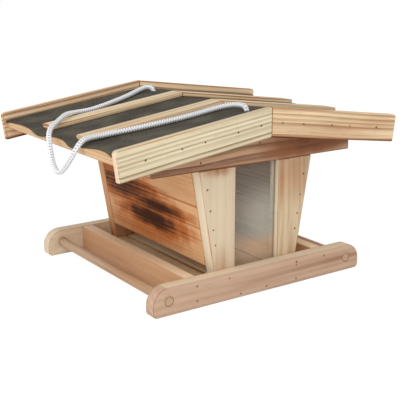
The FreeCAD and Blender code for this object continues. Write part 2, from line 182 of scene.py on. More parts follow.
class Shader:
    """The node tree of a material or of the world, built with short calls."""

    def __init__(self, owner: Union[bpy.types.Material, bpy.types.World]) -> None:
        """Empty the tree of a new material or world.

        Args:
            owner: The material or the world.
        """
        owner.use_nodes = True
        self.owner = owner
        self.tree = owner.node_tree
        self.tree.nodes.clear()

    def node(self, kind: str, settings: Optional[dict] = None, **sockets: object) -> bpy.types.Node:
        """Add any node: its settings first, then the values or links of its sockets.

        Args:
            kind: The node's type, such as ShaderNodeTexNoise.
            settings: Properties of the node itself.
            sockets: Input values or signals; an underscore stands for a space.

        Returns:
            The new node.
        """
        node = self.tree.nodes.new(kind)
        for key, value in (settings or {}).items():
            setattr(node, key, value)
        for key, value in sockets.items():
            self.feed(node.inputs[key.replace("_", " ")], value)
        return node

    def feed(self, target: bpy.types.NodeSocket, value: object) -> None:
        """Link a signal to a socket, or set the socket's own value.

        Args:
            target: The socket.
            value: A signal, a number, a vector or a colour.
        """
        if isinstance(value, Signal):
            self.tree.links.new(value.socket, target)
        elif isinstance(value, tuple) and target.type == "RGBA":
            target.default_value = (*value, 1.0)
        else:
            target.default_value = value

    def take(self, kind: str, settings: Optional[dict] = None, out: Union[int, str] = 0,
             **sockets: object) -> Signal:
        """Add any node and take one of its outputs."""
        return Signal(self, self.node(kind, settings, **sockets).outputs[out])

    def fill(self, kind: str, settings: dict, values: Sequence[object],
             out: Union[int, str] = 0) -> Signal:
        """Add any node, feed its inputs in their order and take one of its outputs.

        Args:
            kind: The node's type.
            settings: Properties of the node itself.
            values: What its first inputs get.
            out: The output that is taken.

        Returns:
            That output.
        """
        node = self.node(kind, settings)
        for socket, value in zip(node.inputs, values):
            self.feed(socket, value)
        return Signal(self, node.outputs[out])

    def math(self, operation: str, *values: Value) -> Signal:
        """One Math node on the given values."""
        return self.fill("ShaderNodeMath", {"operation": operation}, values)

    def vector(self, operation: str, *values: object, out: Union[int, str] = 0) -> Signal:
        """One Vector Math node on the given vectors."""
        return self.fill("ShaderNodeVectorMath", {"operation": operation}, values, out)

    def join(self, *parts: Value) -> Signal:
        """A vector from three parts."""
        return self.fill("ShaderNodeCombineXYZ", {}, parts)

    def split(self, vector: Signal) -> tuple[Signal, Signal, Signal]:
        """The three parts of a vector."""
        node = self.node("ShaderNodeSeparateXYZ", Vector=vector)
        return tuple(Signal(self, socket) for socket in node.outputs)

    def attribute(self, name: str) -> Signal:
        """A vector attribute of the mesh."""
        return self.take("ShaderNodeAttribute", {"attribute_name": name}, "Vector")

    def parts(self, name: str) -> tuple[Signal, Signal, Signal]:
        """The three parts of a vector attribute of the mesh."""
        return self.split(self.attribute(name))

    def object_point(self) -> Signal:
        """The point in the piece's own coordinates, which are the frame's."""
        return self.take("ShaderNodeTexCoord", out="Object")

    def noise(self, vector: Signal, scale: float, detail: float = 2.0, rough: float = 0.5) -> Signal:
        """Noise from about 0 to 1."""
        return self.take("ShaderNodeTexNoise", {"noise_dimensions": "3D"}, Vector=vector, Scale=scale,
                         Detail=detail, Roughness=rough)

    def streak(self, vector: Signal, factors: Point, detail: float, rough: float) -> Signal:
        """Noise with a scale of its own along each part of the vector."""
        return self.noise(self.vector("MULTIPLY", vector, factors), 1.0, detail, rough)

    def mix(self, factor: Value, first: Union[Signal, Colour], second: Union[Signal, Colour]) -> Signal:
        """A colour between two colours.

        Args:
            factor: 0 for the first colour and 1 for the second.
            first: The first colour.
            second: The second colour.

        Returns:
            The mixed colour.
        """
        node = self.node("ShaderNodeMix", {"data_type": "RGBA", "clamp_factor": True})
        for index, value in ((0, factor), (6, first), (7, second)):
            self.feed(node.inputs[index], value)
        return Signal(self, node.outputs[2])

    def bump(self, height: Signal, distance: float) -> Signal:
        """A normal from a height signal, whose full step is distance in metres."""
        return self.take("ShaderNodeBump", Height=height, Distance=distance, Strength=1.0)

    def finish(self, **sockets: object) -> bpy.types.Material:
        """End the tree with a Principled surface.

        Args:
            sockets: Its inputs; an underscore stands for a space.

        Returns:
            The finished material.
        """
        self.node("ShaderNodeOutputMaterial", Surface=self.take("ShaderNodeBsdfPrincipled", **sockets))
        return self.owner


class Finish(Protocol):
    """What the workshop needs of a finish."""

    name: str

    def build(self) -> bpy.types.Material:
        """Make the finish's material."""


@dataclass(frozen=True)
class DarkPatch:
    """A darkened patch on a face, placed in the frame, in millimetres; most are burns and some are painted
    shadow.
    """

    middle: Point
    reach: Point
    depth: float = 1.0


@dataclass(frozen=True)
class WoodFinish:
    """Softwood with growth lines along the board, fibres, a flame-singed surface, painted shadow in some
    dark patches and painted light on some narrow edge faces.

    The pith, the ring gap, the wander, the relief, the rim's reach and the saw pitch are in millimetres.
    The other numbers are strengths, 0 for none, and rough is the roughness of the surface.
    """

    name: str
    light: Colour
    dark: Colour
    toast_and_shade: Colour = rgb(170, 112, 68)
    char_and_shade: Colour = rgb(58, 34, 22)
    pith: tuple[float, float] = (60.0, 26.0)
    ring_gap: float = 3.6
    ring_depth: float = 0.4
    wander: float = 5.0
    streaks: float = 0.7
    relief: float = 0.16
    rim_singe: float = 0.5
    rim_reach: float = 1.8
    low_singe: float = 0.0
    arris: float = 0.55
    haze: float = 0.3
    saw_marks: float = 0.0
    saw_pitch: float = 2.1
    rough: float = 0.62
    painted_edge_light: float = 0.0
    pale_end: float = 0.0
    dark_patches: tuple[DarkPatch, ...] = ()

    def build(self) -> bpy.types.Material:
        """Make the material from the piece's own board coordinates.

        Returns:
            The wood material.
        """
        shader = Shader(bpy.data.materials.new(self.name))
        board = shader.attribute("grain")
        along, across, deep = shader.split(board)
        drift = shader.streak(board, (5.0, 12.0, 12.0), 1.0, 0.4) - 0.5
        sway = drift * (self.wander * MM)
        flow = shader.join(along, across + sway, deep + sway)
        fibres = shader.streak(flow, (26.0, 1500.0, 1500.0), 2.0, 0.6)
        veins = shader.streak(flow, (3.2, 200.0, 200.0), 3.0, 0.62)
        broad = shader.streak(flow, (5.0, 38.0, 38.0), 2.0, 0.5)
        ticks = shader.streak(flow, (75.0, 1000.0, 1000.0), 1.0, 0.5).step(0.62, 0.76)
        near, far, seed = shader.parts("ends")
        line = self._rings(shader, across + sway, deep + sway, veins, seed)
        tone = line * self.ring_depth + (veins - 0.5) * self.streaks + (fibres - 0.5) * 0.4
        tone = tone + ticks * 0.16 + (broad - 0.5) * 0.5 + (seed - 0.5) * 0.14 + 0.12
        height = line * -0.8 + fibres * 0.5 - veins * 0.5
        if self.saw_marks:
            turns = along * (2 * math.pi / (self.saw_pitch * MM)) + drift * 5.0
            marks = shader.math("SINE", turns) * broad.step(0.45, 0.62)
            tone = tone + marks * self.saw_marks
            height = height + marks * (self.saw_marks * 0.8)
        burn_and_shade = self._burn_and_shade(shader, broad, veins, seed) * (line * 0.25 + 0.85)
        colour = shader.mix(tone, self.light, self.dark)
        colour = shader.mix(burn_and_shade.step(0.0, 0.5), colour, self.toast_and_shade)
        colour = shader.mix(burn_and_shade.step(0.4, 1.02), colour, self.char_and_shade)
        # Painted light: the boards' narrow long edge faces, such as the window's jambs and the tops of the
        # rails and tray ends, are mixed towards pale cream.
        if self.painted_edge_light:
            inner, outer, _ = shader.parts("rims")
            painted_edge_mask = inner.least(outer).step(0.5 * MM, 0.1 * MM) * self.painted_edge_light
            colour = shader.mix(painted_edge_mask, colour, rgb(250, 238, 208))
        if self.pale_end:
            cut = near.least(far).step(0.6 * MM, 0.2 * MM) * self.pale_end
            colour = shader.mix(cut, colour, rgb(240, 210, 182))
        return shader.finish(Base_Color=colour, Roughness=self.rough + burn_and_shade * 0.25,
                             Normal=shader.bump(height, self.relief * MM), Specular_IOR_Level=0.3)

    def _rings(self, shader: Shader, across: Signal, deep: Signal, veins: Signal,
               seed: Signal) -> Signal:
        """Growth rings of uneven width and strength round a pith beside or below the board.

        Args:
            shader: The wood's shader.
            across: Place across the board.
            deep: Place through the board.
            veins: Fine streaks that roughen the rings.
            seed: The board's own number.

        Returns:
            The rings, 1 on their dark lines.
        """
        wide = across + self.pith[0] * MM
        low = deep + self.pith[1] * MM
        even = shader.math("SQRT", wide * wide + low * low) / (self.ring_gap * MM) + (veins - 0.5) * 0.5
        years = shader.noise(shader.join(even * 0.45, seed * 9.0, 0.0), 1.0, 1.0)
        turns = even + (years - 0.5) * 1.5
        chance = shader.take("ShaderNodeTexWhiteNoise", {"noise_dimensions": "1D"}, "Value",
                             W=shader.math("FLOOR", turns) + seed * 17.0)
        saw = shader.math("FRACT", turns)
        return saw.step(0.25, 0.86) * saw.step(1.0, 0.92) * (chance * 0.8 + 0.2)

    def _burn_and_shade(self, shader: Shader, broad: Signal, veins: Signal, seed: Signal) -> Signal:
        """How strongly the flame browned the wood at each point, with the painted shadow that some dark
        patches add.

        Args:
            shader: The wood's shader.
            broad: Broad clouds.
            veins: Fine streaks.
            seed: The board's own number.

        Returns:
            0 on clean wood and about 1 where it is charred.
        """
        low_rim, high_rim, _ = shader.parts("rims")
        low_face, high_face, _ = shader.parts("faces")
        low_end, high_end, _ = shader.parts("ends")
        rim, face, end = low_rim.least(high_rim), low_face.least(high_face), low_end.least(high_end)
        arris = rim.most(face).least(face.most(end)).least(rim.most(end))
        worn = arris + ((broad - 0.5) * 2.6 + (veins - 0.5) * 1.2) * (self.rim_reach * MM)
        edge = worn.step(self.rim_reach * MM, 0.0) * self.rim_singe
        haze = (broad * 0.75 + veins * 0.25 + (seed - 0.5) * 0.1).step(0.48, 0.74) * self.haze
        line, _, _ = shader.parts("arris")
        burn_and_shade = edge.most(haze).most(line * (veins * 0.8 + 0.6) * self.arris)
        if self.low_singe:
            burn_and_shade = burn_and_shade.most((low_rim + (broad - 0.5) * (6.0 * MM)).step(4.5 * MM, 0.0) * self.low_singe)
        if self.dark_patches:
            burn_and_shade = burn_and_shade.most(self._patches(shader, veins))
        return burn_and_shade

    def _patches(self, shader: Shader, veins: Signal) -> Signal:
        """The darkened patches on the face: burns that the flame left, and painted shadow where a finish
        places one.

        Args:
            shader: The wood's shader.
            veins: Fine streaks that fray the patches.

        Returns:
            Each patch's own depth in its middle and 0 outside.
        """
        point = shader.object_point()
        fray = (shader.noise(point, 60.0, 3.0, 0.6) - 0.5) * 0.6 + (veins - 0.5) * 0.7
        total: Optional[Signal] = None
        for dark_patch in self.dark_patches:
            away = shader.vector("SUBTRACT", point, tuple(value * MM for value in dark_patch.middle))
            spread = shader.vector("DIVIDE", away, tuple(value * MM for value in dark_patch.reach))
            patch = (shader.vector("LENGTH", spread, out="Value") + fray).step(1.5, 0.0) * dark_patch.depth
            total = patch if total is None else total.most(patch)
        return total


@dataclass(frozen=True)
class FeltFinish:
    """Roofing felt with fine mineral grains."""

    name: str = "roofing_felt"
    light: Colour = rgb(112, 105, 91)
    dark: Colour = rgb(56, 52, 44)

    def build(self) -> bpy.types.Material:
        """Make the felt's material.

        Returns:
            The felt material.
        """
        shader = Shader(bpy.data.materials.new(self.name))
        point = shader.object_point()
        grains = shader.noise(point, 900.0, 2.0, 0.7)
        patches = shader.noise(point, 28.0, 3.0, 0.55)
        tone = patches.step(0.3, 0.75) * 0.5 + (grains - 0.5) * 1.1 + 0.08
        colour = shader.mix(tone, self.dark, self.light)
        normal = shader.bump(grains + patches * 0.6, 0.35 * MM)
        return shader.finish(Base_Color=colour, Roughness=0.9 - grains * 0.1, Normal=normal,
                             Specular_IOR_Level=0.25)


@dataclass(frozen=True)
class CordFinish:
    """White braided cord with painted bluish shade in the valleys between the strands."""

    name: str = "braided_cord"
    light: Colour = rgb(238, 237, 235)
    dark: Colour = rgb(142, 158, 186)

    def build(self) -> bpy.types.Material:
        """Make the cord's material from its braid attribute.

        Returns:
            The cord material.
        """
        shader = Shader(bpy.data.materials.new(self.name))
        valley, _, _ = shader.parts("braid")
        fuzz = shader.noise(shader.object_point(), 1800.0, 2.0, 0.6)
        # Painted shade: the valleys between the strands are mixed towards the dark bluish colour.
        colour = shader.mix(valley.step(0.1, 0.75), self.light, self.dark)
        return shader.finish(Base_Color=colour, Roughness=0.75, Normal=shader.bump(fuzz, 0.06 * MM),
                             Sheen_Weight=0.15)


@dataclass(frozen=True)
class PaneFinish:
    """Clear plastic sheet with a haze of fine scratches and a pale veil of painted light over its lower
    part; its heights are in metres.
    """

    name: str = "clear_pane"
    tint: Colour = rgb(206, 204, 190)
    foot: Colour = rgb(238, 204, 172)

    def build(self) -> bpy.types.Material:
        """Make the pane's material.

        Returns:
            The plastic material.
        """
        shader = Shader(bpy.data.materials.new(self.name))
        point = shader.object_point()
        haze = shader.streak(point, (30.0, 30.0, 8.0), 3.0, 0.6)
        across, _, height = shader.split(point)
        # Painted light: a pale veil over the pane's lower part, stronger to the right and warm at its
        # foot, stands in for the lit inside seen through the window.
        painted_light_veil = height.step(0.126, 0.078) * (across.step(-0.028, 0.02) * 0.7 + 0.3)
        painted_light_veil = painted_light_veil * (height.step(0.03, 0.062) * 0.3 + 0.7)
        warm = shader.mix(height.step(0.062, 0.045), self.tint, self.foot)
        return shader.finish(Base_Color=warm, Roughness=0.05 + haze * 0.06,
                             Alpha=0.07 + haze * 0.06 + painted_light_veil * 0.28, IOR=1.49)


@dataclass(frozen=True)
class NailFinish:
    """Dull steel nail head, darkened by the flame."""

    name: str = "nail_steel"
    light: Colour = rgb(140, 108, 80)
    dark: Colour = rgb(88, 66, 48)

    def build(self) -> bpy.types.Material:
        """Make the nails' material.

        Returns:
            The steel material.
        """
        shader = Shader(bpy.data.materials.new(self.name))
        stain = shader.noise(shader.object_point(), 400.0, 2.0, 0.6)
        colour = shader.mix(stain.step(0.35, 0.7), self.light, self.dark)
        return shader.finish(Base_Color=colour, Roughness=0.5 + stain * 0.2, Metallic=0.3)


@dataclass(frozen=True)
class Grain:
    """How a board was cut: where its grain runs and which way its width lies."""

    along: Vector
    across: Vector

    @property
    def deep(self) -> Vector:
        """The direction through the board."""
        return self.along.cross(self.across)


def slope_grain(side: Side) -> Grain:
    """The grain of a board that lies along one slope of the roof."""
    along = Vector((side.value * math.cos(PITCH), 0, -math.sin(PITCH)))
    return Grain(along, Vector((side.value * math.sin(PITCH), 0, math.cos(PITCH))))


ALONG_X = Grain(Vector((1, 0, 0)), Vector((0, 0, 1)))
ALONG_Y = Grain(Vector((0, 1, 0)), Vector((0, 0, 1)))
ALONG_Y_FLAT = Grain(Vector((0, 1, 0)), Vector((1, 0, 0)))
UPRIGHT = Grain(Vector((0, 0, 1)), Vector((1, 0, 0)))


def link(name: str, data: bpy.types.ID) -> bpy.types.Object:
    """Put a mesh, a curve, a light or a camera into the scene as an object at the origin.

    Args:
        name: The object's name.
        data: What the object shows.

    Returns:
        The object.
    """
    piece = bpy.data.objects.new(name, data)
    bpy.context.scene.collection.objects.link(piece)
    return piece


def settled(carrier: bpy.types.Object) -> bpy.types.Mesh:
    """Turn a carrier with its modifiers into a plain mesh and take the carrier away.

    Args:
        carrier: The object; it is removed.

    Returns:
        The plain mesh.
    """
    graph = bpy.context.evaluated_depsgraph_get()
    graph.update()
    mesh = bpy.data.meshes.new_from_object(carrier.evaluated_get(graph))
    bpy.data.objects.remove(carrier)
    return mesh


def set_vectors(mesh: bpy.types.Mesh, name: str, *parts: Union[np.ndarray, float]) -> None:
    """Store one vector for each vertex of the mesh.

    Args:
        mesh: The mesh that gets the attribute.
        name: The attribute's name.
        parts: The vectors' three parts, each a number for every vertex or one for all.
    """
    layer = mesh.attributes.new(name, "FLOAT_VECTOR", "POINT")
    rows = np.stack(np.broadcast_arrays(*parts), axis=1)
    layer.data.foreach_set("vector", rows.astype(np.float32).ravel())


def vertex_array(mesh: bpy.types.Mesh) -> np.ndarray:
    """The mesh's vertices as an array.

    Args:
        mesh: The mesh.

    Returns:
        One row of three numbers for each vertex.
    """
    flat = np.empty(len(mesh.vertices) * 3, dtype=np.float32)
    mesh.vertices.foreach_get("co", flat)
    return flat.reshape(-1, 3).astype(float)


def grid_faces(rows: int, columns: int, closed: bool) -> list[tuple[int, ...]]:
    """The faces between rows of points.

    Args:
        rows: How many rows there are.
        columns: How many points a row has.
        closed: Whether each row is a ring.

    Returns:
        The four corners of each face.
    """
    return [(row * columns + col, row * columns + (col + 1) % columns,
             (row + 1) * columns + (col + 1) % columns, (row + 1) * columns + col)
            for row in range(rows - 1) for col in range(columns if closed else columns - 1)]


def eased_copy(node: str, name: str, ease: float) -> bpy.types.Mesh:
    """A copy of a node's mesh with flat faces merged and sharp corners eased.

    The middle line of each eased corner gets 1 in the attribute arris, and all else 0.

    Args:
        node: The node to copy.
        name: The new mesh's name.
        ease: Width of the eased corner, in metres.

    Returns:
        The new mesh.
    """
    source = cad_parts[node].data
    work = bmesh.new()
    work.from_mesh(source)
    bmesh.ops.remove_doubles(work, verts=work.verts, dist=WELD)
    bmesh.ops.dissolve_limit(work, angle_limit=FLAT, verts=work.verts, edges=work.edges)
    sharp = [edge for edge in work.edges
             if len(edge.link_faces) == 2 and edge.calc_face_angle(0.0) > SHARP]
    eased = bmesh.ops.bevel(work, geom=sharp, offset=ease, segments=2, profile=0.5, affect="EDGES",
                            clamp_overlap=True)
    strips = set(eased["faces"])
    arris = work.verts.layers.float.new("arris")
    for vert in work.verts:
        vert[arris] = float(all(face in strips for face in vert.link_faces))
    bmesh.ops.recalc_face_normals(work, faces=work.faces)
    mesh = bpy.data.meshes.new(name)
    work.to_mesh(mesh)
    work.free()
    mesh.shade_smooth()
    mesh.set_sharp_from_angle(angle=SMOOTH)
    return mesh


def mark_board(mesh: bpy.types.Mesh, grain: Grain, seed: float,
               rims: Optional[Callable[[np.ndarray], tuple[np.ndarray, np.ndarray]]] = None) -> None:
    """Store the board coordinates that the wood finishes read.

    Args:
        mesh: The board's mesh.
        grain: How the board was cut.
        seed: A number from 0 to 1 that sets this board apart from its neighbours.
        rims: Distances to the two long edges, where they aren't parallel to the grain.
    """
    points = vertex_array(mesh)
    axes = np.array([grain.along, grain.across, grain.deep])
    local = points @ axes.T
    low, high = local.min(axis=0), local.max(axis=0)
    middle = (low + high) / 2
    shift = np.array([seed, seed - 0.5, seed]) * GRAIN_SHIFT
    set_vectors(mesh, "grain", *(local - middle + shift).T)
    edges = rims(points) if rims else (local[:, 1] - low[1], high[1] - local[:, 1])
    set_vectors(mesh, "rims", *edges, 0.0)
    set_vectors(mesh, "faces", local[:, 2] - low[2], high[2] - local[:, 2], 0.0)
    set_vectors(mesh, "ends", local[:, 0] - low[0], high[0] - local[:, 0], seed)


@dataclass
class Workshop:
    """Keeps the finished materials and dresses pieces with them."""

    finishes: dict[str, bpy.types.Material] = field(default_factory=dict)
    boards: int = 0

    def material(self, finish: Finish) -> bpy.types.Material:
        """The material of a finish, built once.

        Args:
            finish: The finish.

        Returns:
            Its material.
        """
        if finish.name not in self.finishes:
            self.finishes[finish.name] = finish.build()
        return self.finishes[finish.name]

    def dress(self, mesh: bpy.types.Mesh, finish: Finish) -> None:
        """Give a mesh one finish in place of what it has."""
        mesh.materials.clear()
        mesh.materials.append(self.material(finish))

    def board(self, node: str, finish: WoodFinish, grain: Grain, body: Body, ease: float = 0.7,
              rims: Optional[Callable] = None) -> bpy.types.Object:
        """Replace a node by a board with eased corners and its own grain.

        Args:
            node: The node that the board stands for.
            finish: Its wood.
            grain: How it was cut.
            body: The body that it rides on.
            ease: Width of its eased corners, in millimetres.
            rims: Distances to its long edges, where they aren't parallel to the grain.

        Returns:
            The new piece.
        """
        mesh = eased_copy(node, node + "_board", ease * MM)
        self.boards += 1
        mark_board(mesh, grain, (self.boards * GOLDEN) % 1.0, rims)
        self.dress(mesh, finish)
        piece = link(node + "_board", mesh)
        self.place(piece, body, node)
        return piece

    def place(self, piece: bpy.types.Object, body: Body, *nodes: str) -> None:
        """Let a piece ride on its body and stand for its nodes.

        Args:
            piece: The piece.
            body: The body that it rides on.
            nodes: The nodes that it replaces.
        """
        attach(piece, body.value)
        if nodes:
            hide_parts(*nodes)
        log.info("%s rides on %s", piece.name, body.value)


RAIL_PINE = WoodFinish("rail_pine", rgb(204, 172, 146), rgb(148, 110, 82), toast_and_shade=rgb(150, 100, 66),
                       ring_gap=7.0, ring_depth=0.25, rim_singe=0.0, arris=1.0, haze=0.3, painted_edge_light=0.4,
                       dark_patches=(DarkPatch((168, -124, 38), (22, 12, 7), 0.5),))
RAIL_PALE = WoodFinish("rail_pale", rgb(226, 206, 178), rgb(180, 148, 114), ring_gap=7.0, ring_depth=0.2,
                       rim_singe=0.0, arris=0.8, haze=0.2)
TRAY_PINE = WoodFinish("tray_pine", rgb(206, 160, 120), rgb(154, 106, 70), toast_and_shade=rgb(150, 98, 60),
                       ring_gap=9.0, ring_depth=0.2, streaks=0.5, rim_singe=0.3, rim_reach=1.3,
                       arris=0.9, haze=0.25, painted_edge_light=0.45)
# Painted shade: the perch's wood is set a little darker than the rails' to stand for the shade it sits in.
PERCH_PINE = WoodFinish("perch_pine", rgb(196, 166, 136), rgb(146, 112, 84), ring_gap=3.0, ring_depth=0.15,
                        haze=0.3, rim_singe=0.1)
FLOOR_PINE = WoodFinish("floor_pine", rgb(228, 200, 160), rgb(174, 136, 98), haze=0.3, rim_singe=0.6)
# Painted shadow: the first dark patch, along the top of the front left gable board, stands for the shade
# below the roof's gable.
GABLE_PALE = WoodFinish(
    "gable_pale", rgb(224, 206, 178), rgb(190, 160, 124), ring_gap=9.0, ring_depth=0.15, streaks=0.5,
    rim_singe=0.4, haze=0.14, painted_edge_light=0.5,
    dark_patches=(DarkPatch((-52, -112, 138), (24, 14, 9), 0.4), DarkPatch((-46, -112, 34), (14, 4, 26), 0.24)))
GABLE_BROWN = WoodFinish(
    "gable_brown", rgb(216, 192, 158), rgb(152, 114, 80), ring_gap=9.0, ring_depth=0.2, wander=14.0,
    streaks=2.0, rim_singe=0.7, rim_reach=1.5, haze=0.2, painted_edge_light=0.85,
    dark_patches=(DarkPatch((52, -112, 122), (34, 4, 40), 0.3), DarkPatch((80, -112, 112), (7, 4, 40), 0.7),
              DarkPatch((34, -112, 116), (6, 4, 40), 0.4)))
GABLE_TOASTED = WoodFinish("gable_toasted", rgb(210, 158, 112), rgb(158, 104, 66), ring_gap=9.0,
                           ring_depth=0.2, rim_singe=0.5, haze=0.3)
BARGE_CREAM = WoodFinish("barge_cream", rgb(240, 226, 192), rgb(122, 88, 50), toast_and_shade=rgb(186, 134, 80),
                         pith=(90.0, 12.0), ring_gap=5.2, ring_depth=0.78, wander=3.0, streaks=0.5,
                         relief=0.4, rim_singe=0.5, rim_reach=1.6, arris=0.8, haze=0.2, pale_end=0.85)
BARGE_PEACH = WoodFinish(
    "barge_peach", rgb(240, 210, 170), rgb(134, 88, 52), toast_and_shade=rgb(180, 122, 74), pith=(70.0, 16.0),
    ring_gap=5.0, ring_depth=0.7, streaks=0.8, relief=0.3, rim_singe=0.5, rim_reach=2.0,
    low_singe=1.15, arris=0.8, haze=0.28)
BATTEN_PINE = WoodFinish("batten_pine", rgb(234, 214, 178), rgb(180, 142, 100), ring_gap=5.0, haze=0.18,
                         rim_singe=0.5)
DECK_PINE = WoodFinish("deck_pine", rgb(222, 186, 144), rgb(162, 112, 70), haze=0.35)
# Painted shadow: the dark patch on the right of the front roof gable, in its toast and char colours,
# stands for the shade under the near barge board.
ROOF_GABLE = WoodFinish(
    "roof_gable_pine", rgb(212, 168, 132), rgb(98, 58, 36), toast_and_shade=rgb(146, 92, 58), ring_gap=9.0,
    ring_depth=0.9, wander=12.0, streaks=1.1, relief=0.25, rim_singe=0.7, haze=0.45,
    dark_patches=(DarkPatch((70, -112, 152), (66, 6, 17), 0.64),))
WALL_BURNT = WoodFinish(
    "wall_burnt", rgb(226, 179, 131), rgb(186, 130, 86), toast_and_shade=rgb(180, 104, 48), char_and_shade=rgb(62, 27, 6),
    ring_gap=4.6, ring_depth=0.3, streaks=0.7, rim_singe=0.35, arris=0.35, haze=0.25, saw_marks=0.22,
    dark_patches=(DarkPatch((-74, 56, 90), (40, 96, 23), 1.12), DarkPatch((-70, -14, 80), (40, 76, 12), 1.2),
              DarkPatch((-64, 0, 61), (40, 80, 19), 1.25), DarkPatch((-80, 90, 112), (40, 80, 26), 0.75),
              DarkPatch((-60, 20, 46), (30, 105, 24), 0.5)))
WALL_WARM = WoodFinish("wall_warm", rgb(218, 172, 128), rgb(166, 112, 72), ring_gap=4.6, streaks=0.8,
                       haze=0.5, saw_marks=0.12)
INNER_PINE = WoodFinish("inner_pine", rgb(222, 190, 150), rgb(178, 132, 90), haze=0.15, rim_singe=0.2)


@dataclass
class Nails:
    """Nail heads set by a Geometry Nodes tree at chosen points of the boards, sizes in millimetres."""

    head_width: float = 2.3
    head_height: float = 0.35
    head_sides: int = 14
    taper: float = 0.72
    spread: tuple[float, float] = (0.88, 1.12)
    seed: int = 7

    def tree(self, material: bpy.types.Material) -> bpy.types.NodeTree:
        """Build the tree that puts one head at each point of its mesh.

        Args:
            material: The heads' material.

        Returns:
            The tree, with the head's sizes and the seed as named inputs.
        """
        tree = bpy.data.node_groups.new("nail_heads", "GeometryNodeTree")
        for label, kind in (("Geometry", "Geometry"), ("Head Radius", "Float"), ("Head Height", "Float"),
                            ("Seed", "Int")):
            tree.interface.new_socket(label, in_out="INPUT", socket_type="NodeSocket" + kind)
        tree.interface.new_socket("Geometry", in_out="OUTPUT", socket_type="NodeSocketGeometry")
        nodes = {key: tree.nodes.new(kind) for key, kind in {
            "in": "NodeGroupInput", "out": "NodeGroupOutput", "head": "GeometryNodeMeshCone",
            "points": "GeometryNodeMeshToPoints", "facing": "GeometryNodeInputNamedAttribute",
            "turn": "FunctionNodeAlignRotationToVector", "size": "FunctionNodeRandomValue",
            "place": "GeometryNodeInstanceOnPoints", "real": "GeometryNodeRealizeInstances",
            "rim": "ShaderNodeMath", "dress": "GeometryNodeSetMaterial",
            "smooth": "GeometryNodeSetShadeSmooth"}.items()}
        nodes["head"].inputs["Vertices"].default_value = self.head_sides
        nodes["rim"].operation = "MULTIPLY"
        nodes["rim"].inputs[1].default_value = self.taper
        nodes["facing"].data_type = "FLOAT_VECTOR"
        nodes["facing"].inputs["Name"].default_value = "facing"
        nodes["turn"].axis = "Z"
        nodes["size"].data_type = "FLOAT"
        nodes["size"].inputs[2].default_value, nodes["size"].inputs[3].default_value = self.spread
        nodes["dress"].inputs["Material"].default_value = material
        for start, out, end, into in (
                ("in", "Head Radius", "head", "Radius Bottom"), ("in", "Head Radius", "rim", 0),
                ("rim", 0, "head", "Radius Top"), ("in", "Head Height", "head", "Depth"),
                ("in", "Geometry", "points", "Mesh"), ("in", "Seed", "size", "Seed"),
                ("points", "Points", "place", "Points"), ("head", "Mesh", "place", "Instance"),
                ("facing", "Attribute", "turn", "Vector"), ("turn", "Rotation", "place", "Rotation"),
                ("size", 1, "place", "Scale"), ("place", "Instances", "real", "Geometry"),
                ("real", "Geometry", "smooth", "Geometry"), ("smooth", "Geometry", "dress", "Geometry"),
                ("dress", "Geometry", "out", "Geometry")):
            tree.links.new(nodes[start].outputs[out], nodes[end].inputs[into])
        return tree

    def drive(self, name: str, body: Body, spots: Sequence[Point], shop: Workshop) -> None:
        """Set one head at each spot of both gables and join them into one plain mesh.

        Args:
            name: The piece's name.
            body: The body that the nails ride on.
            spots: A gable's nails: place across, distance from the middle and height, in millimetres.
            shop: The workshop that holds the materials.
        """
        mesh = bpy.data.meshes.new(name + "_points")
        mesh.from_pydata([(across * MM, gable.value * out * MM, height * MM)
                          for gable in Gable for across, out, height in spots], [], [])
        set_vectors(mesh, "facing", 0.0, np.repeat([gable.value for gable in Gable], len(spots)), 0.0)
        carrier = link(name + "_points", mesh)
        tree = self.tree(shop.material(NailFinish()))
        modifier = carrier.modifiers.new("nails", "NODES")
        modifier.node_group = tree
        values = {"Head Radius": self.head_width * MM / 2, "Head Height": self.head_height * MM,
                  "Seed": self.seed}
        for socket in tree.interface.items_tree:
            if socket.in_out == "INPUT" and socket.name in values:
                modifier[socket.identifier] = values[socket.name]
        piece = link(name, settled(carrier))
        shop.place(piece, body)


@dataclass
class Tray:
    """Rails, tray ends, perches and floor."""

    shop: Workshop
    nails: Nails
    rail_face: float = 126.5
    rail_nails: tuple[tuple[float, float], ...] = (
        (-87, 24), (-87, 8), (87, 23.5), (-46, 24), (46, 24), (46, 20.5), (46, 5), (4, 5), (-31, 4))

    def build(self) -> None:
        """Dress the tray's pieces."""
        for gable in Gable:
            self.shop.board("rail_" + gable.word, RAIL_PINE if gable is Gable.FRONT else RAIL_PALE,
                            ALONG_X, Body.FEEDER, ease=1.2)
        for side in Side:
            self.shop.board("tray_end_" + side.word, TRAY_PINE, ALONG_Y, Body.FEEDER, ease=0.8)
            self.shop.board("perch_" + side.word, PERCH_PINE, ALONG_Y, Body.FEEDER, ease=0.5)
        for index in range(1, 5):
            self.shop.board("floor_plank_%d" % index, FLOOR_PINE, ALONG_Y_FLAT, Body.FEEDER, ease=0.5)
        spots = [(across, self.rail_face, height) for across, height in self.rail_nails]
        self.nails.drive("tray_nails", Body.FEEDER, spots, self.shop)


